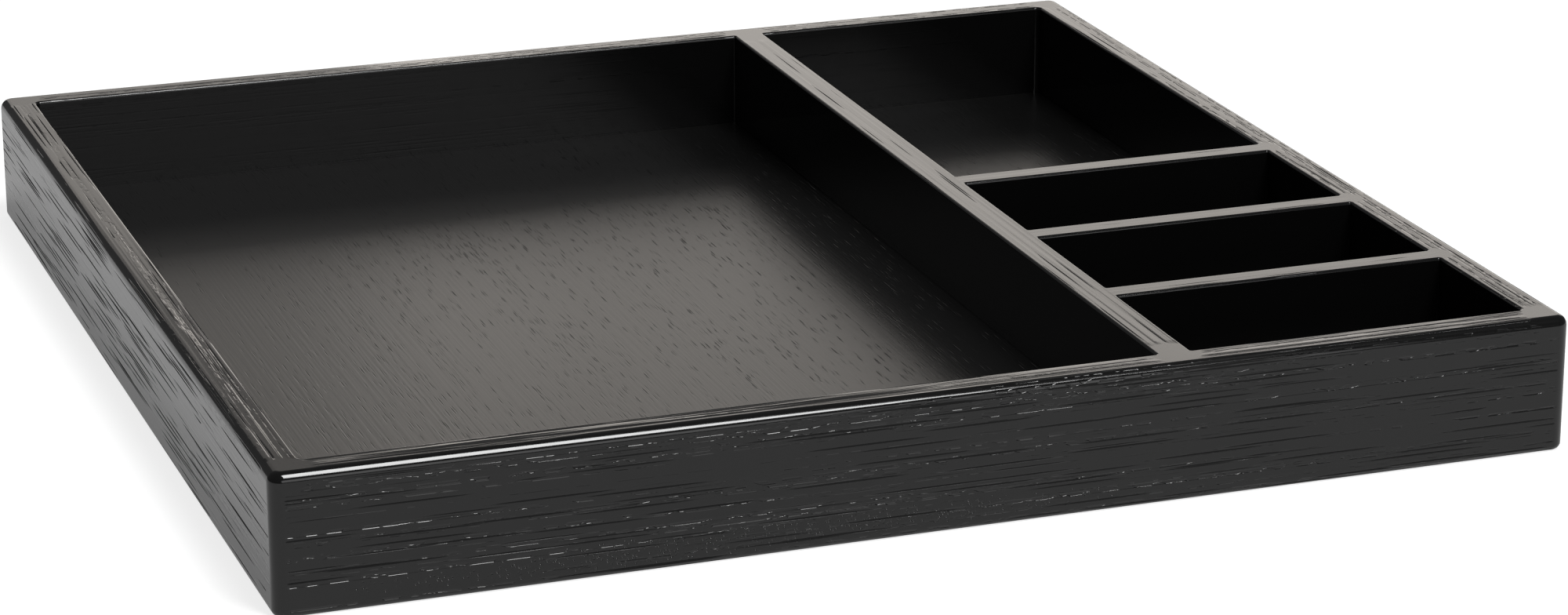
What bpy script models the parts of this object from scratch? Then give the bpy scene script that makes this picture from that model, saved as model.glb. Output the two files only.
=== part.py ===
"""A square compartment tray of black lacquered bamboo boards, in metres, +Z up.

The origin is the middle of the footprint, at the height of the table. X runs along the front
wall from left to right, and Y runs from the front wall to the back wall.
Four mitred walls, joined by hidden splines, hold a base panel in a groove. One long divider and
three cross dividers stand on the base, with their ends in stopped housings.
"""

import math

import bmesh
import bpy
from mathutils import Matrix, Vector

# The frame
TRAY_WIDTH = 0.380
TRAY_DEPTH = 0.380
TRAY_HEIGHT = 0.0405
WALL_THICKNESS = 0.0104

# The base panel, and how far its underside stands off the table
BASE_THICKNESS = 0.006
BASE_STANDOFF = 0.0032

# The compartments: a large one on the left, and equal slots one behind another at the front right
LEFT_COMPARTMENT_WIDTH = 0.2448
SLOT_LENGTH = 0.0512
LONG_DIVIDER_THICKNESS = 0.0106
CROSS_DIVIDER_THICKNESS = 0.008
CROSS_DIVIDERS = ("front", "middle", "back")

# Rounded edges: the routed outside, and the sanded edges round each compartment
CORNER_ROUND = 0.004
RIM_ROUND = 0.003
FOOT_ROUND = 0.002
INSIDE_ROUND = 0.001
ROUND_SEGMENTS = 6

# Joinery: what a groove, a housing or a spline takes of its board, and where each stops
BASE_GROOVE_SHARE = 0.4
WALL_HOUSING_SHARE = 0.3
DIVIDER_HOUSING_SHARE = 0.28
HOUSING_STOP = 0.007
SPLINE_WIDTH_SHARE = 0.78
SPLINE_THICKNESS_SHARE = 0.2
SPLINE_PLACE_SHARE = 0.62
SPLINE_STOP = 0.005

# The glue line left between two pieces, and how far a cutter runs past what it cuts
GLUE_GAP = 0.0003
OVERRUN = 0.002

# Finishes: base colour and roughness
BLACK_LACQUER = ((0.018, 0.018, 0.017), 0.34)
RAW_BAMBOO = ((0.52, 0.36, 0.19), 0.6)
SHARP_EDGE = math.radians(30)

# Places that follow from the sizes above
FLOOR = BASE_STANDOFF + BASE_THICKNESS
HOUSING_TOP = TRAY_HEIGHT - HOUSING_STOP
INSIDE_RIGHT = TRAY_WIDTH / 2 - WALL_THICKNESS
INSIDE_BACK = TRAY_DEPTH / 2 - WALL_THICKNESS
LONG_DIVIDER_LEFT = LEFT_COMPARTMENT_WIDTH - INSIDE_RIGHT
LONG_DIVIDER_RIGHT = LONG_DIVIDER_LEFT + LONG_DIVIDER_THICKNESS


def clear_scene():
    for obj in list(bpy.data.objects):
        bpy.data.objects.remove(obj)


def new_collection(name):
    collection = bpy.data.collections.new(name)
    bpy.context.scene.collection.children.link(collection)
    return collection


def finish_material(name, finish):
    """A Principled material of one finish, given as (colour, roughness)."""
    colour, roughness = finish
    material = bpy.data.materials.new(name)
    material.use_nodes = True
    shader = material.node_tree.nodes["Principled BSDF"]
    shader.inputs["Base Color"].default_value = (*colour, 1.0)
    shader.inputs["Roughness"].default_value = roughness
    shader.inputs["Metallic"].default_value = 0.0
    return material


def add_part(name, mesh, finish):
    """One sub-part of the tray, with a material of its own."""
    mesh.materials.clear()
    mesh.materials.append(finish_material(name + "_finish", finish))
    part = bpy.data.objects.new(name, mesh)
    part.parent = ORIGIN
    TRAY.objects.link(part)
    return part


def add_cutter(name, mesh):
    cutter = bpy.data.objects.new(name, mesh)
    cutter.hide_render = True
    cutter.display_type = "WIRE"
    CUTTERS.objects.link(cutter)
    return cutter


def boolean(part, cutter, operation="DIFFERENCE"):
    modifier = part.modifiers.new(cutter.name, "BOOLEAN")
    modifier.operation = operation
    modifier.solver = "EXACT"
    modifier.object = cutter


def block(low, high, turn=0.0):
    """A block between two corners, turned about its own upright axis."""
    low, high = Vector(low), Vector(high)
    shape = bmesh.new()
    bmesh.ops.create_cube(shape, size=1.0)
    place = Matrix.Translation((low + high) / 2) @ Matrix.Rotation(turn, 4, "Z")
    shape.transform(place @ Matrix.Diagonal((*(high - low), 1.0)))
    return shape


def round_edges(shape, radius, chosen):
    """Rounds the edges whose two ends pass the test."""
    edges = [edge for edge in shape.edges if chosen(*(corner.co for corner in edge.verts))]
    bmesh.ops.bevel(
        shape, geom=edges, offset=radius, segments=ROUND_SEGMENTS, profile=0.5, affect="EDGES"
    )


def to_mesh(name, shape):
    mesh = bpy.data.meshes.new(name)
    shape.to_mesh(mesh)
    shape.free()
    mesh.shade_smooth()
    mesh.set_sharp_from_angle(angle=SHARP_EDGE)
    return mesh


def block_cutter(name, low, high, turn=0.0):
    return add_cutter(name, to_mesh(name, block(low, high, turn)))


# Walls: one square ring, rounded as the glued frame is, which the mitres part into four boards


def is_upright(a, b):
    return abs(a.z - b.z) > TRAY_HEIGHT / 2


def is_at_rim(a, b):
    return min(a.z, b.z) > TRAY_HEIGHT - GLUE_GAP


def is_at_foot(a, b):
    return max(a.z, b.z) < GLUE_GAP


def is_at_inner_rim(a, b):
    along_side_wall = all(abs(abs(end.x) - INSIDE_RIGHT) < GLUE_GAP for end in (a, b))
    along_end_wall = all(abs(abs(end.y) - INSIDE_BACK) < GLUE_GAP for end in (a, b))
    return is_at_rim(a, b) and (along_side_wall or along_end_wall)


def frame_mesh():
    """The ring: a rounded block, less the well, with the well's top edges sanded round."""
    half = Vector((TRAY_WIDTH / 2, TRAY_DEPTH / 2, 0.0))
    shape = block(-half, half + Vector((0.0, 0.0, TRAY_HEIGHT)))
    round_edges(shape, CORNER_ROUND, is_upright)
    round_edges(shape, RIM_ROUND, is_at_rim)
    round_edges(shape, FOOT_ROUND, is_at_foot)
    ring = add_cutter("frame_blank", to_mesh("frame_blank", shape))
    well = (INSIDE_RIGHT, INSIDE_BACK, TRAY_HEIGHT + OVERRUN)
    boolean(ring, block_cutter("well", (-INSIDE_RIGHT, -INSIDE_BACK, -OVERRUN), well))
    graph = bpy.context.evaluated_depsgraph_get()
    hollowed = bpy.data.meshes.new_from_object(ring.evaluated_get(graph))
    bpy.data.objects.remove(ring)
    shape = bmesh.new()
    shape.from_mesh(hollowed)
    round_edges(shape, INSIDE_ROUND, is_at_inner_rim)
    return to_mesh("frame", shape)


def mitre_wedge(name, length, reach, turn):
    """The space of one wall between its mitres: a block that narrows towards the inside."""
    outside, inside = reach + OVERRUN, reach - WALL_THICKNESS - OVERRUN
    half_outside = length / 2 + OVERRUN - GLUE_GAP / math.sqrt(2)
    half_inside = half_outside - (outside - inside)
    shape = block(
        (-half_outside, -outside, -OVERRUN), (half_outside, -inside, TRAY_HEIGHT + OVERRUN)
    )
    for corner in shape.verts:
        if corner.co.y > -reach:
            corner.co.x = math.copysign(half_inside, corner.co.x)
    bmesh.ops.rotate(shape, verts=shape.verts, matrix=Matrix.Rotation(turn, 3, "Z"))
    return add_cutter(name, to_mesh(name, shape))


def base_groove():
    """The space of the base panel and its glue lines, cut into all four walls."""
    return block_cutter("base_groove", *base_corners(GLUE_GAP))


def wall(name, frame, wedge, cutters):
    part = add_part(name, frame.copy(), BLACK_LACQUER)
    boolean(part, wedge, "INTERSECT")
    for cutter in cutters:
        boolean(part, cutter)


# Splines: a loose tongue square to each mitre, stopped below the rim and above the base


def spline_block(across, back, clearance):
    """The spline of the corner on these sides (-1 or 1), or its slot, which has a clearance."""
    place = WALL_THICKNESS * SPLINE_PLACE_SHARE
    centre = Vector((across * (TRAY_WIDTH / 2 - place), back * (TRAY_DEPTH / 2 - place), 0.0))
    half = WALL_THICKNESS * Vector((SPLINE_WIDTH_SHARE, SPLINE_THICKNESS_SHARE, 0.0)) / 2
    half += Vector((clearance, clearance, 0.0))
    foot = Vector((0.0, 0.0, FLOOR + SPLINE_STOP - clearance))
    top = Vector((0.0, 0.0, TRAY_HEIGHT - SPLINE_STOP + clearance))
    return block(centre - half + foot, centre + half + top, -across * back * math.pi / 4)


def spline_and_slot(name, across, back):
    add_part(name, to_mesh(name, spline_block(across, back, 0.0)), RAW_BAMBOO)
    slot = name + "_slot"
    return add_cutter(slot, to_mesh(slot, spline_block(across, back, GLUE_GAP)))


# Base: one flat panel held in the groove


def base_corners(clearance):
    """The low and high corners of the space that the panel takes, grown by a clearance."""
    groove = WALL_THICKNESS * BASE_GROOVE_SHARE - GLUE_GAP + clearance
    high = Vector((INSIDE_RIGHT + groove, INSIDE_BACK + groove, FLOOR + clearance))
    low = Vector((-high.x, -high.y, BASE_STANDOFF - clearance))
    return low, high


def base_panel():
    add_part("base_panel", to_mesh("base_panel", block(*base_corners(0.0))), BLACK_LACQUER)


# Dividers: boards with a tongue at each end, which stops short of the rim


def divider(name, low, high, shoulders):
    """A board between two plan corners, less the wood above its tongues."""
    length = max(high[0] - low[0], high[1] - low[1])

    def is_long_top_edge(a, b):
        return is_at_rim(a, b) and (a - b).length > length - GLUE_GAP

    shape = block((*low, FLOOR + GLUE_GAP), (*high, TRAY_HEIGHT))
    round_edges(shape, INSIDE_ROUND, is_long_top_edge)
    part = add_part(name, to_mesh(name, shape), BLACK_LACQUER)
    for end, (shoulder_low, shoulder_high) in shoulders.items():
        cutter_low = (*shoulder_low, HOUSING_TOP - GLUE_GAP)
        cutter_high = (*shoulder_high, TRAY_HEIGHT + OVERRUN)
        boolean(part, block_cutter(f"{name}_{end}_shoulder", cutter_low, cutter_high))
    return part


def housing(name, low, high):
    """The stopped housing round a divider's tongue, open to the base below."""
    low = (low[0] - GLUE_GAP, low[1] - GLUE_GAP, FLOOR - OVERRUN)
    high = (high[0] + GLUE_GAP, high[1] + GLUE_GAP, HOUSING_TOP)
    return block_cutter(name, low, high)


def long_divider():
    """The long divider, and the housing cutter for both its ends."""
    shoulder = INSIDE_BACK - GLUE_GAP
    tip = shoulder + WALL_THICKNESS * WALL_HOUSING_SHARE
    past_left, past_right = LONG_DIVIDER_LEFT - OVERRUN, LONG_DIVIDER_RIGHT + OVERRUN
    low, high = (LONG_DIVIDER_LEFT, -tip), (LONG_DIVIDER_RIGHT, tip)
    shoulders = {
        "front": ((past_left, -tip - OVERRUN), (past_right, -shoulder)),
        "back": ((past_left, shoulder), (past_right, tip + OVERRUN)),
    }
    return divider("long_divider", low, high, shoulders), housing("long_housing", low, high)


def cross_divider(number, place):
    """The cross divider with this number from the front, and the housing cutter for its ends."""
    front = SLOT_LENGTH - INSIDE_BACK + number * (SLOT_LENGTH + CROSS_DIVIDER_THICKNESS)
    back = front + CROSS_DIVIDER_THICKNESS
    left_shoulder, right_shoulder = LONG_DIVIDER_RIGHT + GLUE_GAP, INSIDE_RIGHT - GLUE_GAP
    left_tip = left_shoulder - LONG_DIVIDER_THICKNESS * DIVIDER_HOUSING_SHARE
    right_tip = right_shoulder + WALL_THICKNESS * WALL_HOUSING_SHARE
    low, high = (left_tip, front), (right_tip, back)
    shoulders = {
        "left": ((left_tip - OVERRUN, front - OVERRUN), (left_shoulder, back + OVERRUN)),
        "right": ((right_shoulder, front - OVERRUN), (right_tip + OVERRUN, back + OVERRUN)),
    }
    divider("cross_divider_" + place, low, high, shoulders)
    return housing(place + "_housing", low, high)


# Assembly

clear_scene()
TRAY = new_collection("compartment_tray")
CUTTERS = new_collection("cutters")
ORIGIN = bpy.data.objects.new("tray_origin", None)
TRAY.objects.link(ORIGIN)

base_panel()
board, long_housing = long_divider()
cross_housings = [cross_divider(number, place) for number, place in enumerate(CROSS_DIVIDERS)]
for cutter in cross_housings:
    boolean(board, cutter)

slots = {}
for side, across in (("left", -1), ("right", 1)):
    for end, back in (("front", -1), ("back", 1)):
        slots[end, side] = spline_and_slot(f"mitre_spline_{end}_{side}", across, back)

# Each wall, anticlockwise from the front: its length, how far out it stands, and its housings
frame = frame_mesh()
groove = base_groove()
walls = {
    "front": (TRAY_WIDTH, TRAY_DEPTH / 2, [long_housing]),
    "right": (TRAY_DEPTH, TRAY_WIDTH / 2, cross_housings),
    "back": (TRAY_WIDTH, TRAY_DEPTH / 2, [long_housing]),
    "left": (TRAY_DEPTH, TRAY_WIDTH / 2, []),
}
for quarter, (side, (length, reach, housings)) in enumerate(walls.items()):
    wedge = mitre_wedge(side + "_mitres", length, reach, quarter * math.pi / 2)
    own_slots = [cutter for corner, cutter in slots.items() if side in corner]
    wall(side + "_wall", frame, wedge, [groove, *housings, *own_slots])
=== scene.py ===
"""A square compartment tray of black lacquered bamboo boards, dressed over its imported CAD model.

Everything is in metres, in the row frame: X along the front wall from left to right, Y from the
front wall to the back wall, Z up from the table.
"""

import math

import bpy
from mathutils import Matrix, Vector


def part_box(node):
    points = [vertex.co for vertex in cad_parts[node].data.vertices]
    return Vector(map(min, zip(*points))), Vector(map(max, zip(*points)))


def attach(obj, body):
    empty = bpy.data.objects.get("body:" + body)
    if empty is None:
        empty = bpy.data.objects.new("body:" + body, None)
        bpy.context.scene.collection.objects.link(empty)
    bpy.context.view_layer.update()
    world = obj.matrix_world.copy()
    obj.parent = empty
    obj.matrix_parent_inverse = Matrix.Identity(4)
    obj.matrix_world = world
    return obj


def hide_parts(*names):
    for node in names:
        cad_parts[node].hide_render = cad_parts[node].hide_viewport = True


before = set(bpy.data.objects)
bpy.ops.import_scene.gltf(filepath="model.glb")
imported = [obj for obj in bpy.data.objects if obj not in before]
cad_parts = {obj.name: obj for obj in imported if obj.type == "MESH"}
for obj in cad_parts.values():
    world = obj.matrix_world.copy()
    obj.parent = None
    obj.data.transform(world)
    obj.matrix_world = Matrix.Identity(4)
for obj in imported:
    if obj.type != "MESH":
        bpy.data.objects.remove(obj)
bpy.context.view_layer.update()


# The base panel: one thin bamboo board, its grain from front to back, held in a groove of the
# four walls. It was stained black and sprayed with satin lacquer with the rest of the tray. The
# lacquer nearly fills its pores, which show as short fine scratches in the sheen.

MM = 0.001
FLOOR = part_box("base_panel")[1].z
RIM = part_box("front_wall")[1].z

# Black stained bamboo under catalysed satin lacquer has nearly no colour of its own. It shows the
# room in its clear coat, faintly from above and strongly along the surface.
STAINED_BLACK = "#0A0A0A"
LACQUER_IOR = 1.5

# How far a pore's flat bottom and its lip reach from its middle, and the lip of one in coarse
# grain, as shares of the cell that it lies in
PORE_BOTTOM = 0.06
PORE_LIP = 0.42
COARSE_LIP = 0.75

# The depth of a shallow pore beside the deepest
SHALLOW = 0.3

# What filling and sanding leave of the pores and of the ribs on the faces inside the tray
INNER_PORES = 0.12
INNER_RIBS = 0.1


def linear(hex_colour):
    """An sRGB hex colour as linear RGBA."""
    channels = [int(hex_colour[place:place + 2], 16) / 255 for place in (1, 3, 5)]
    return [c / 12.92 if c <= 0.04045 else ((c + 0.055) / 1.055) ** 2.4 for c in channels] + [1.0]


def add_node(tree, kind, settings=None, **inputs):
    """A node with its settings and its inputs, each a value or a socket to link. An input is
    named with _ for each space, or by its place in the list, as _0."""
    node = tree.nodes.new(kind)
    for name, value in (settings or {}).items():
        setattr(node, name, value)
    for name, value in inputs.items():
        key = int(name[1:]) if name[1:].isdigit() else name.replace("_", " ")
        if isinstance(value, bpy.types.NodeSocket):
            tree.links.new(value, node.inputs[key])
        else:
            node.inputs[key].default_value = value
    return node


def black_lacquer(name, along, shift, pore_size, pore_share, pore_depth, pore_roughness,
                  roughness, rib_pitch, rib_height, row_depth=0.0, inside=None, filled=(),
                  specks=None, coarse=None, streaked=None):
    """Black lacquer over open grain that runs along "X" or "Y". Lengths are in metres. A share of
    the cells of pore_size hold a pore, and rows of dashes are row_depth as deep as one. All but
    the top is an inner face up to the distance that inside gives from the tray's middle. The last
    four are ovals, each a centre and its radii: the filled joints, and where the front wall has
    specks of dust, coarse pores and more rows."""
    material = bpy.data.materials.new(name)
    material.use_nodes = True
    tree = material.node_tree
    tree.nodes.clear()
    place = add_node(tree, "ShaderNodeTexCoord").outputs["Object"]
    turn = math.radians(90) if along == "Y" else 0.0
    board = add_node(tree, "ShaderNodeMapping", Vector=place, Location=shift,
                     Rotation=(0.0, 0.0, turn)).outputs[0]

    def clouds(source, size, low, high, least=0.0, most=1.0):
        """Long clouds along the grain, from the least where their noise is low to the most."""
        scaled = add_node(tree, "ShaderNodeVectorMath", {"operation": "DIVIDE"},
                          _0=source, _1=size).outputs[0]
        noise = add_node(tree, "ShaderNodeTexNoise", Vector=scaled, Scale=1.0, Detail=1.5)
        return add_node(tree, "ShaderNodeMapRange", {"interpolation_type": "SMOOTHSTEP"},
                        Value=noise.outputs[0], From_Min=low, From_Max=high, To_Min=least,
                        To_Max=most).outputs[0]

    def hollows(source, size, share, lip=PORE_LIP):
        """Hollows in a share of cells of a size: where they lie, 1 in the middle, and how deep
        they are there. Half are shallow, and the rest are up to 1 deep."""
        scaled = add_node(tree, "ShaderNodeVectorMath", {"operation": "DIVIDE"},
                          _0=source, _1=size).outputs[0]
        cells = add_node(tree, "ShaderNodeTexVoronoi", Vector=scaled, Scale=1.0)
        chance = add_node(tree, "ShaderNodeSeparateColor", Color=cells.outputs["Color"]).outputs
        is_open = add_node(tree, "ShaderNodeMath", {"operation": "LESS_THAN"},
                           _0=chance[0], _1=share).outputs[0]
        hollow = add_node(tree, "ShaderNodeMapRange", {"interpolation_type": "SMOOTHSTEP"},
                          Value=cells.outputs["Distance"], From_Min=PORE_BOTTOM, From_Max=lip,
                          To_Min=is_open, To_Max=0.0).outputs[0]
        depth = add_node(tree, "ShaderNodeMapRange", Value=chance[1], From_Min=0.5,
                         To_Min=SHALLOW).outputs[0]
        sunk = add_node(tree, "ShaderNodeMath", {"operation": "MULTIPLY"},
                        _0=hollow, _1=depth).outputs[0]
        return hollow, sunk

    def away(centre, radii):
        """How far a place is from an oval's centre, 1 at the oval."""
        offset = add_node(tree, "ShaderNodeVectorMath", {"operation": "SUBTRACT"},
                          _0=place, _1=centre).outputs[0]
        shares = add_node(tree, "ShaderNodeVectorMath", {"operation": "DIVIDE"},
                          _0=offset, _1=radii).outputs[0]
        return add_node(tree, "ShaderNodeVectorMath", {"operation": "LENGTH"},
                        _0=shares).outputs["Value"]

    # The grain wanders a little off straight
    drift_size, drift_reach = (400 * MM, 25 * MM, 25 * MM), (0.0, 2.0 * MM, 2.0 * MM)
    drift = add_node(tree, "ShaderNodeVectorMath", {"operation": "DIVIDE"},
                     _0=board, _1=drift_size).outputs[0]
    wander = add_node(tree, "ShaderNodeTexNoise", Vector=drift, Scale=1.0, Detail=1.0)
    grain = add_node(tree, "ShaderNodeVectorMath", {"operation": "MULTIPLY_ADD"},
                     _0=wander.outputs["Color"], _1=drift_reach, _2=board).outputs[0]

    # Long pores, of which more are open in some bands of the grain than in others. Real ones are
    # about 0.2 mm wide, and these are drawn about three times as wide so that they show.
    band_size = (130 * MM, 4 * MM, 4 * MM)
    share = clouds(grain, band_size, low=0.35, high=0.65, least=0.3 * pore_share,
                   most=2.0 * pore_share)
    lip = PORE_LIP
    if coarse:
        coarser = add_node(tree, "ShaderNodeMapRange", Value=away(*coarse), From_Min=0.6,
                           From_Max=1.1, To_Min=1.0, To_Max=0.0).outputs[0]
        share = add_node(tree, "ShaderNodeMath", {"operation": "MAXIMUM"},
                         _0=share, _1=coarser).outputs[0]
        lip = add_node(tree, "ShaderNodeMapRange", Value=coarser, To_Min=PORE_LIP,
                       To_Max=COARSE_LIP).outputs[0]
    pore, sunk = hollows(grain, pore_size, share, lip)

    # In a wall some vessels are cut open in long rows of dashes, whose lips catch the light. The
    # dashes are drawn wider than a real vessel too, so that they show.
    if row_depth:
        row_size, dash_size = (400 * MM, 1.2 * MM, 1.2 * MM), (5 * MM, 1.5 * MM, 1.5 * MM)
        rows = clouds(grain, row_size, low=0.5, high=0.72, most=row_depth)
        if streaked:
            close_row_size = (300 * MM, 0.9 * MM, 0.9 * MM)
            streaks = add_node(tree, "ShaderNodeMapRange", Value=away(*streaked), From_Min=0.5,
                               To_Min=1.0, To_Max=0.0).outputs[0]
            more = clouds(grain, close_row_size, low=0.4, high=0.58, most=row_depth)
            more = add_node(tree, "ShaderNodeMath", {"operation": "MULTIPLY"},
                            _0=more, _1=streaks).outputs[0]
            rows = add_node(tree, "ShaderNodeMath", {"operation": "MAXIMUM"},
                            _0=rows, _1=more).outputs[0]
        dashes = clouds(grain, dash_size, low=0.48, high=0.54, least=0.25)
        row = add_node(tree, "ShaderNodeMath", {"operation": "MULTIPLY"},
                       _0=rows, _1=dashes).outputs[0]
        sunk = add_node(tree, "ShaderNodeMath", {"operation": "MAXIMUM"},
                        _0=sunk, _1=row).outputs[0]

    # Specks of dust that dried in the lacquer. Real ones are a few tenths of a millimetre, and
    # these are drawn about twice that.
    if specks:
        speck_size = (1.0 * MM, 1.0 * MM, 1.0 * MM)
        dusty = add_node(tree, "ShaderNodeMapRange", Value=away(*specks), From_Min=0.5,
                         From_Max=1.1, To_Min=0.9, To_Max=0.0).outputs[0]
        dust, _ = hollows(place, speck_size, dusty)
        sunk = add_node(tree, "ShaderNodeMath", {"operation": "MAXIMUM"},
                        _0=sunk, _1=dust).outputs[0]

    # The joints were filled and sanded flat before the lacquer, and the faces inside nearly so
    rough = 1.0
    for oval in filled:
        rough = add_node(tree, "ShaderNodeMapRange", Value=away(*oval), From_Min=0.85,
                         From_Max=1.15, To_Max=rough).outputs[0]
    unfilled = rough
    rise = rib_height / pore_depth
    if inside:
        measured = add_node(tree, "ShaderNodeVectorMath", {"operation": "ABSOLUTE"},
                            _0=place).outputs[0]
        sides = add_node(tree, "ShaderNodeSeparateXYZ", Vector=measured).outputs
        furthest = add_node(tree, "ShaderNodeMath", {"operation": "MAXIMUM"},
                            _0=sides[0], _1=sides[1]).outputs[0]
        outside = add_node(tree, "ShaderNodeMapRange", Value=furthest, From_Min=inside,
                           From_Max=inside + 0.1 * MM).outputs[0]
        on_top = add_node(tree, "ShaderNodeMapRange", Value=sides[2], From_Min=RIM - 0.4 * MM,
                          From_Max=RIM - 0.3 * MM).outputs[0]
        shown = add_node(tree, "ShaderNodeMath", {"operation": "MAXIMUM"},
                         _0=outside, _1=on_top).outputs[0]
        unfilled = add_node(tree, "ShaderNodeMapRange", Value=shown, To_Min=INNER_PORES,
                            To_Max=rough).outputs[0]
        rise = add_node(tree, "ShaderNodeMapRange", Value=on_top, To_Min=INNER_RIBS * rise,
                        To_Max=rise).outputs[0]
    sunk = add_node(tree, "ShaderNodeMath", {"operation": "MULTIPLY"},
                    _0=sunk, _1=unfilled).outputs[0]
    pore = add_node(tree, "ShaderNodeMath", {"operation": "MULTIPLY"},
                    _0=pore, _1=unfilled).outputs[0]

    # The harder wood stands up in long low ribs, a millimetre or two apart and highest on top
    ribs = clouds(grain, (60 * rib_pitch, rib_pitch, rib_pitch), low=0.25, high=0.75)
    ridge = add_node(tree, "ShaderNodeMath", {"operation": "MULTIPLY"},
                     _0=ribs, _1=rise).outputs[0]
    ridge = add_node(tree, "ShaderNodeMath", {"operation": "MULTIPLY"},
                     _0=ridge, _1=rough).outputs[0]
    height = add_node(tree, "ShaderNodeMath", {"operation": "SUBTRACT"},
                      _0=ridge, _1=sunk).outputs[0]
    bump = add_node(tree, "ShaderNodeBump", Height=height, Distance=pore_depth)

    # The lacquer is even but for the bottoms of the pores, where it is thin or the wood is bare
    dullness = add_node(tree, "ShaderNodeMapRange", Value=pore, From_Min=0.1, From_Max=0.4,
                        To_Min=roughness, To_Max=pore_roughness).outputs[0]
    shader = add_node(tree, "ShaderNodeBsdfPrincipled", Base_Color=linear(STAINED_BLACK),
                      Roughness=dullness, IOR=LACQUER_IOR, Normal=bump.outputs[0])
    add_node(tree, "ShaderNodeOutputMaterial", Surface=shader.outputs[0])
    return material


panel_lacquer = black_lacquer(
    "satin_black_lacquer_on_bamboo_panel", "Y", (0.3, 0.1, 0.0),
    pore_size=(10 * MM, 0.6 * MM, 0.6 * MM), pore_share=0.45, pore_depth=0.1 * MM,
    pore_roughness=0.34, roughness=0.3, rib_pitch=0.9 * MM, rib_height=0.015 * MM)
base_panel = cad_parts["base_panel"]
base_panel.material_slots[0].material = panel_lacquer


# The long divider: a bamboo board from the front wall to the back wall, its ends glued into
# housings. Its top edges are sanded round. Lacquer fills its joints, so its faces run out into
# its neighbours in small hollow fillets, and its top is level with theirs and without a seam.

INSIDE = -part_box("front_wall")[1].y
LONG_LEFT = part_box("long_divider")[0].x
LONG_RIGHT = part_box("long_divider")[1].x

# The lacquer in a joint, the dark line at the foot of a face, the round of the top edges, and
# how far the boards go down into the base panel, so that no gap shows
JOINT_FILLET = 0.4 * MM
HAIRLINE = 0.5 * MM
EDGE_ROUND = 0.9 * MM
BEDDING = 0.3 * MM

# Facets in a rounding, and the cosine of the sharpest turn that is still shaded smooth
ROUND_STEPS = 6
SMOOTH_TURN = 0.6

# The faces of a divider are all inner faces, as no part of the tray is this far from its middle
ALL_INSIDE = 1.0

# Roughness of the sprayed satin lacquer, and of wood left bare at the bottom of a pore
SATIN = 0.11
BARE_WOOD = 1.0


def arc(centre, radius, start, end, hollow=False):
    """Plan points on an arc between two angles in degrees, each with the way its face looks."""
    points = []
    for step in range(ROUND_STEPS + 1):
        angle = math.radians(start + (end - start) * step / ROUND_STEPS)
        spoke = Vector((math.cos(angle), math.sin(angle), 0.0))
        points.append((Vector((*centre, 0.0)) + spoke * radius, -spoke if hollow else spoke))
    return points


def hollow_side(z):
    """How far a face inside the tray falls back at a height, and how far it tilts up."""
    if z <= RIM - EDGE_ROUND:
        return (HAIRLINE if z < FLOOR + HAIRLINE / 2 else 0.0), 0.0
    tilt = math.asin(min((z - RIM) / EDGE_ROUND + 1, 1.0))
    return EDGE_ROUND * (1 - math.cos(tilt)), tilt


def quarter_heights(start, size):
    """Heights at even steps round a quarter turn that begins at a height."""
    turns = [math.radians(90 * step / ROUND_STEPS) for step in range(ROUND_STEPS + 1)]
    return [start + size * math.sin(turn) for turn in turns]


def raised(plan, z, tilt, turn):
    """Plan points lifted to a height, with their faces tilted up, and then turned."""
    lift = Vector((0.0, 0.0, z))
    up = Vector((0.0, 0.0, math.sin(tilt)))
    return [(turn @ (point + lift), turn @ (normal * math.cos(tilt) + up))
            for point, normal in plan]


def lofted(name, rings):
    """A closed piece through rings of (place, normal) from the bottom up, smooth along them."""
    count = len(rings[0])
    places = [place for ring in rings for place, _ in ring]
    normals = [normal for ring in rings for _, normal in ring]
    faces = [tuple(reversed(range(count))), tuple(range(len(places) - count, len(places)))]
    for low in range(0, len(places) - count, count):
        for step in range(count):
            here, following = low + step, low + (step + 1) % count
            faces.append((here, following, following + count, here + count))
    mesh = bpy.data.meshes.new(name)
    mesh.from_pydata(places, [], faces)
    smooth = []
    for face in mesh.polygons:
        for vertex in face.vertices:
            along = normals[vertex].dot(face.normal) > SMOOTH_TURN
            smooth.append(normals[vertex] if along else face.normal.copy())
    mesh.normals_split_custom_set(smooth)
    piece = bpy.data.objects.new(name, mesh)
    bpy.context.scene.collection.objects.link(piece)
    return piece


def divider_piece(name, left, right, front, back, turn):
    """A divider between two faces and two neighbours, drawn along Y and then turned."""
    far_left, far_right = left - JOINT_FILLET, right + JOINT_FILLET
    near, far = front + JOINT_FILLET, back - JOINT_FILLET
    heights = [FLOOR - BEDDING, FLOOR, FLOOR + HAIRLINE]
    heights += quarter_heights(RIM - EDGE_ROUND, EDGE_ROUND)
    rings = []
    for z in heights:
        fall, tilt = hollow_side(z)
        reach = JOINT_FILLET + fall
        plan = arc((far_right, near), reach, 270, 180, hollow=True)
        plan += arc((far_right, far), reach, 180, 90, hollow=True)
        plan += arc((far_left, far), reach, 90, 0, hollow=True)
        plan += arc((far_left, near), reach, 0, -90, hollow=True)
        rings.append(raised(plan, z, tilt, turn))
    return lofted(name, rings)


def filled_joint(x, y, radius):
    """A joint in the rim that was filled, as an oval's centre and radii."""
    return (x, y, RIM), (radius, radius, radius)


def finish_piece(piece, material, slot, *nodes):
    """A finished piece of the tray, which stands for the CAD nodes of its boards."""
    piece.data.materials.clear()
    piece.data.materials.append(material)
    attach(piece, "root")
    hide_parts(*nodes)


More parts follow.
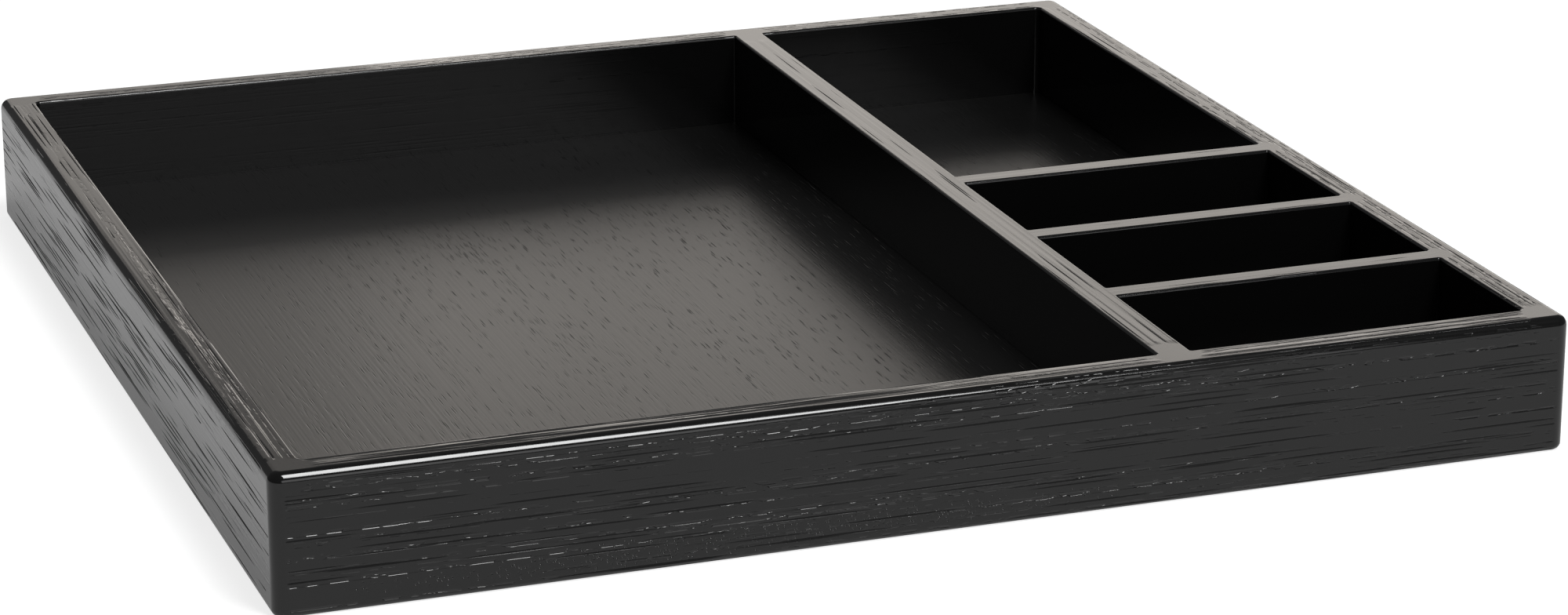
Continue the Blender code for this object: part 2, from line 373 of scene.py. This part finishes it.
LONG_MIDDLE = (LONG_LEFT + LONG_RIGHT) / 2
divider_ends = [filled_joint(LONG_MIDDLE, end * INSIDE, 9 * MM) for end in (-1, 1)]
along_lacquer = black_lacquer(
    "satin_black_lacquer_on_bamboo_divider", "Y", (0.7, 0.2, 0.0),
    pore_size=(50 * MM, 0.8 * MM, 0.8 * MM), pore_share=0.22, pore_depth=0.2 * MM,
    pore_roughness=BARE_WOOD, roughness=SATIN, rib_pitch=1.8 * MM, rib_height=0.055 * MM,
    inside=ALL_INSIDE, filled=divider_ends)
long_divider = divider_piece("long_divider_board", LONG_LEFT, LONG_RIGHT, -INSIDE, INSIDE,
                             Matrix.Identity(3))
finish_piece(long_divider, along_lacquer, "lacquered_dividers", "long_divider")


# The cross dividers: three thinner bamboo boards of one size between the long divider and the
# right wall, at one pitch, so one board is made and repeated. Their grain runs across the tray,
# and their joints and edges are finished as the long divider's are.

CROSS_NODES = ["cross_divider_front", "cross_divider_middle", "cross_divider_back"]
CROSS_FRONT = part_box(CROSS_NODES[0])[0].y
CROSS_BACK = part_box(CROSS_NODES[0])[1].y
CROSS_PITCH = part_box(CROSS_NODES[1])[0].y - CROSS_FRONT

board = divider_piece("cross_divider_board", -CROSS_BACK, -CROSS_FRONT, LONG_RIGHT, INSIDE,
                      Matrix.Rotation(math.radians(-90), 3, "Z"))
across_lacquer = black_lacquer(
    "satin_black_lacquer_on_bamboo_cross_dividers", "X", (0.2, 0.5, 0.0),
    pore_size=(30 * MM, 0.9 * MM, 0.9 * MM), pore_share=0.06, pore_depth=0.1 * MM,
    pore_roughness=0.8, roughness=SATIN, rib_pitch=2.2 * MM, rib_height=0.02 * MM,
    inside=ALL_INSIDE)

tree = bpy.data.node_groups.new("repeated_dividers", "GeometryNodeTree")
tree.is_modifier = True
for socket, kind in (("Board", "NodeSocketObject"), ("Count", "NodeSocketInt"),
                     ("Pitch", "NodeSocketFloat"), ("Finish", "NodeSocketMaterial")):
    tree.interface.new_socket(socket, in_out="INPUT", socket_type=kind)
tree.interface.new_socket("Dividers", in_out="OUTPUT", socket_type="NodeSocketGeometry")
sizes = add_node(tree, "NodeGroupInput").outputs
step = add_node(tree, "ShaderNodeCombineXYZ", Y=sizes["Pitch"]).outputs[0]
row = add_node(tree, "GeometryNodeMeshLine", {"mode": "OFFSET"}, Count=sizes["Count"], Offset=step)
shape = add_node(tree, "GeometryNodeObjectInfo", Object=sizes["Board"]).outputs["Geometry"]
repeated = add_node(tree, "GeometryNodeInstanceOnPoints", Points=row.outputs[0], Instance=shape)
real = add_node(tree, "GeometryNodeRealizeInstances", Geometry=repeated.outputs[0])
finished = add_node(tree, "GeometryNodeSetMaterial", Geometry=real.outputs[0],
                    Material=sizes["Finish"])
add_node(tree, "NodeGroupOutput", Dividers=finished.outputs[0])

row_of_boards = bpy.data.objects.new("cross_divider_row", bpy.data.meshes.new("row"))
bpy.context.scene.collection.objects.link(row_of_boards)
repeat = row_of_boards.modifiers.new("repeat", "NODES")
repeat.node_group = tree
values = {"Board": board, "Count": len(CROSS_NODES), "Pitch": CROSS_PITCH,
          "Finish": across_lacquer}
for socket in tree.interface.items_tree:
    if socket.in_out == "INPUT":
        repeat[socket.identifier] = values[socket.name]
graph = bpy.context.evaluated_depsgraph_get()
plain = bpy.data.meshes.new_from_object(row_of_boards.evaluated_get(graph))
row_of_boards.modifiers.clear()
row_of_boards.data = plain
bpy.data.objects.remove(board)
finish_piece(row_of_boards, across_lacquer, "lacquered_dividers", *CROSS_NODES)


# The four walls: bamboo boards mitred at the corners, glued up with hidden splines and then
# routed round as one frame, so the large outer roundings run through the mitres. The grain runs
# along each board. Its pores stay open in the lacquer outside and on the rim, but not at joints.

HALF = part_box("right_wall")[1].x
CORNER_ROUND = 4 * MM
RIM_ROUND = 3 * MM
FOOT_ROUND = 2 * MM
MITRE_FILLET = 1.6 * MM


def outer_side(z):
    """How far the outside of a wall falls back at a height, and how far it tilts up."""
    if z < FOOT_ROUND:
        tilt = -math.asin(1 - z / FOOT_ROUND)
        return FOOT_ROUND * (1 - math.cos(tilt)), tilt
    tilt = math.asin(min(max((z - RIM) / RIM_ROUND + 1, 0.0), 1.0))
    return RIM_ROUND * (1 - math.cos(tilt)), tilt


def wall_piece(name, quarters):
    """A wall from mitre to mitre, drawn at the front and turned by quarters anticlockwise. It
    has half of each corner's rounding, up to the mitre at 45 degrees."""
    turn = Matrix.Rotation(quarters * math.pi / 2, 3, "Z")
    bend, fillet = HALF - CORNER_ROUND, INSIDE - MITRE_FILLET
    heights = [FOOT_ROUND - height for height in quarter_heights(0.0, FOOT_ROUND)]
    heights += [FLOOR, FLOOR + HAIRLINE]
    heights += quarter_heights(RIM - RIM_ROUND, RIM_ROUND)
    heights += quarter_heights(RIM - EDGE_ROUND, EDGE_ROUND)
    rings = []
    for z in sorted({round(height, 7) for height in heights}):
        outer_fall, outer_tilt = outer_side(z)
        inner_fall, inner_tilt = hollow_side(z)
        outer_reach, inner_reach = CORNER_ROUND - outer_fall, MITRE_FILLET + inner_fall
        outside = arc((-bend, -bend), outer_reach, 225, 270)
        outside += arc((bend, -bend), outer_reach, 270, 315)
        inside = arc((fillet, -fillet), inner_reach, 315, 270, hollow=True)
        inside += arc((-fillet, -fillet), inner_reach, 270, 225, hollow=True)
        rings.append(raised(outside, z, outer_tilt, turn) + raised(inside, z, inner_tilt, turn))
    return lofted(name, rings)


# The finish of a wall's inner face ends this far out, just behind the face
INNER_FACE = INSIDE + 0.5 * MM

# The cells of the long open pores, and of the finer ones of the left wall
LONG_PORE = (60 * MM, 0.9 * MM, 0.9 * MM)
FINE_PORE = (60 * MM, 0.75 * MM, 0.75 * MM)

# Parts of the front wall, as ovals: dust along the foot, coarse pores on the rim's top, more
# rows of dashes under the edge, and the left part of the edge, where the pores are filled
DUSTY_FOOT = ((-0.06, -HALF, 6 * MM), (0.11, 2 * MM, 4 * MM))
COARSE_RIM = ((-0.09, -HALF + 6.8 * MM, RIM), (0.12, 4 * MM, 2 * MM))
STREAKED_FRONT = ((0.01, -HALF, RIM - 5.5 * MM), (0.12, 2 * MM, 5 * MM))
FILLED_EDGE = ((-0.12, -HALF + 1.5 * MM, RIM - 1.5 * MM), (0.14, 2.2 * MM, 2.2 * MM))

corners = []
for x, y in ((-1, -1), (-1, 1), (1, -1), (1, 1)):
    corners.append(filled_joint(x * (HALF + INSIDE) / 2, y * (HALF + INSIDE) / 2, 8 * MM))
    corners.append(((x * HALF, y * HALF, 0.0), (CORNER_ROUND, CORNER_ROUND, 1.0)))
cross_middles = [(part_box(node)[0].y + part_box(node)[1].y) / 2 for node in CROSS_NODES]
cross_ends = [filled_joint(INSIDE, middle, 6 * MM) for middle in cross_middles]

# The walls anticlockwise from the front one, each with its own grain
walls = {
    "front_wall": dict(
        along="X", pore_size=LONG_PORE, pore_share=1.0, pore_depth=0.3 * MM, row_depth=0.65,
        rib_height=0.12 * MM, filled=corners + divider_ends + [FILLED_EDGE],
        specks=DUSTY_FOOT, coarse=COARSE_RIM, streaked=STREAKED_FRONT),
    "right_wall": dict(
        along="Y", pore_size=LONG_PORE, pore_share=0.15, pore_depth=0.3 * MM, row_depth=0.6,
        rib_height=0.05 * MM, filled=corners + cross_ends),
    "back_wall": dict(
        along="X", pore_size=LONG_PORE, pore_share=0.25, pore_depth=0.3 * MM, row_depth=0.6,
        rib_height=0.05 * MM, filled=corners + divider_ends),
    "left_wall": dict(
        along="Y", pore_size=FINE_PORE, pore_share=0.9, pore_depth=0.6 * MM, row_depth=0.15,
        rib_height=0.12 * MM, filled=corners),
}
for quarters, (node, grain) in enumerate(walls.items()):
    lacquer = black_lacquer(
        "satin_black_lacquer_on_bamboo_" + node, shift=(0.4 + quarters, 0.3 * quarters, 0.2),
        pore_roughness=BARE_WOOD, roughness=SATIN, rib_pitch=2.2 * MM, inside=INNER_FACE, **grain)
    finish_piece(wall_piece(node + "_board", quarters), lacquer, "lacquered_walls", node)


# The splines: four loose bamboo tongues glued across the mitres, wholly inside the walls. They
# were never finished, so they show plain pale bamboo with its fibres standing upright.

# Sawn bamboo is pale straw with darker bundles of fibre, and dull
PALE_BAMBOO = "#C9A877"
FIBRE_BROWN = "#B08A58"
FIBRE_WIDTH = 0.6 * MM
FIBRE_LENGTH = 25 * MM

raw_bamboo = bpy.data.materials.new("raw_bamboo_splines")
raw_bamboo.use_nodes = True
tree = raw_bamboo.node_tree
tree.nodes.clear()
place = add_node(tree, "ShaderNodeTexCoord").outputs["Object"]
upright = add_node(tree, "ShaderNodeMapping", Vector=place,
                   Scale=(1 / FIBRE_WIDTH, 1 / FIBRE_WIDTH, 1 / FIBRE_LENGTH)).outputs[0]
fibres = add_node(tree, "ShaderNodeTexNoise", Vector=upright, Scale=1.0, Detail=3.0)

# The mix has its two colours at inputs 6 and 7, and gives the mixed one at output 2
tones = add_node(tree, "ShaderNodeMix", {"data_type": "RGBA"}, _0=fibres.outputs[0],
                 _6=linear(PALE_BAMBOO), _7=linear(FIBRE_BROWN))
bump = add_node(tree, "ShaderNodeBump", Height=fibres.outputs[0], Distance=0.05 * MM)
shader = add_node(tree, "ShaderNodeBsdfPrincipled", Base_Color=tones.outputs[2], Roughness=0.6,
                  Normal=bump.outputs[0])
add_node(tree, "ShaderNodeOutputMaterial", Surface=shader.outputs[0])
for node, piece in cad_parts.items():
    if node.startswith("mitre_spline"):
        piece.material_slots[0].material = raw_bamboo


# The studio: a pale floor and a dim room. A large soft lamp above the front makes the light line
# along the tray's front edge, and a weak one in front lights the inner faces that look its way.
# A low one behind to the right, with two dimmer ones beside and above it, shines in the rim.

NEUTRAL = "#FFFFFF"
WARM = "#FFF8F0"
TRAY_FOOT = (0.0, 0.0, 0.0)
ABOVE_TRAY = (0.0, 0.0, 0.05)
ROOM_LIGHT = 0.12


def studio_lamp(name, place, target, width, height, radiance, colour):
    """A soft lamp that looks at a target. Its radiance is 1 where it would show as white."""
    lamp = bpy.data.lights.new(name, "AREA")
    lamp.shape = "RECTANGLE"
    lamp.size = width
    lamp.size_y = height
    lamp.energy = radiance * math.pi * width * height
    lamp.color = linear(colour)[:3]
    holder = bpy.data.objects.new(name, lamp)
    holder.location = place
    holder.rotation_euler = (Vector(target) - Vector(place)).to_track_quat("-Z", "Y").to_euler()
    holder.visible_camera = False
    bpy.context.scene.collection.objects.link(holder)


studio_lamp("overhead_lamp", (0.62, -1.4, 3.0), TRAY_FOOT, 0.9, 1.9, 18.5, NEUTRAL)
studio_lamp("back_lamp", (1.0, 1.62, 0.44), ABOVE_TRAY, 1.4, 0.66, 1.4, WARM)
studio_lamp("left_back_lamp", (0.1, 1.9, 0.4), ABOVE_TRAY, 0.7, 0.6, 0.75, WARM)
studio_lamp("top_back_lamp", (0.6, 1.9, 0.98), ABOVE_TRAY, 2.0, 0.35, 0.28, WARM)
studio_lamp("front_lamp", (0.3, -2.2, 0.7), TRAY_FOOT, 1.6, 0.8, 1.6, NEUTRAL)

# Matt floor paint, a mid grey in this low light. A glow lifts it to white where the camera sees
# it, and part of the way where the lacquer mirrors it, so it keeps the tray's shadow.
FLOOR_GREY = "#A2A2A2"
SEEN_GLOW = 0.8
MIRRORED_GLOW = 0.4
FLOOR_REACH = 9.0

floor_mesh = bpy.data.meshes.new("floor")
floor_corners = [(x * FLOOR_REACH, y * FLOOR_REACH, 0.0)
                 for x, y in ((-1, -1), (1, -1), (1, 1), (-1, 1))]
floor_mesh.from_pydata(floor_corners, [], [(0, 1, 2, 3)])
floor = bpy.data.objects.new("floor", floor_mesh)
bpy.context.scene.collection.objects.link(floor)
paint = bpy.data.materials.new("matt_grey_floor_paint")
paint.use_nodes = True
tree = paint.node_tree
tree.nodes.clear()
seen = add_node(tree, "ShaderNodeLightPath").outputs
mirrored = add_node(tree, "ShaderNodeMath", {"operation": "MAXIMUM"},
                    _0=seen["Is Glossy Ray"], _1=seen["Is Transmission Ray"])
shared = add_node(tree, "ShaderNodeMath", {"operation": "MULTIPLY"},
                  _0=mirrored.outputs[0], _1=MIRRORED_GLOW)
lift = add_node(tree, "ShaderNodeMath", {"operation": "MULTIPLY_ADD"},
                _0=seen["Is Camera Ray"], _1=SEEN_GLOW, _2=shared.outputs[0])
glow = add_node(tree, "ShaderNodeEmission", Strength=lift.outputs[0])
matt = add_node(tree, "ShaderNodeBsdfDiffuse", Color=linear(FLOOR_GREY))
both = add_node(tree, "ShaderNodeAddShader", _0=glow.outputs[0], _1=matt.outputs[0])
add_node(tree, "ShaderNodeOutputMaterial", Surface=both.outputs[0])
floor_mesh.materials.append(paint)

room = bpy.data.worlds.new("dim_room")
room.use_nodes = True
room.node_tree.nodes["Background"].inputs["Color"].default_value = linear(NEUTRAL)
room.node_tree.nodes["Background"].inputs["Strength"].default_value = ROOM_LIGHT
bpy.context.scene.world = room
bpy.context.scene.view_settings.view_transform = "Standard"


# The camera: a long lens 1.4 m from the tray, to the left of its middle and looking down on it at
# about 18 degrees. Its place and lens were fitted to the tray's edges in the photograph.

camera = bpy.data.cameras.new("camera")
camera.sensor_width = 36.0
camera.lens = 106.026
viewpoint = bpy.data.objects.new("camera", camera)
viewpoint.location = (-0.44003, -1.28904, 0.46154)
viewpoint.rotation_euler = [math.radians(angle) for angle in (71.4683, 0.0902, -19.6397)]
bpy.context.scene.collection.objects.link(viewpoint)
bpy.context.scene.camera = viewpoint
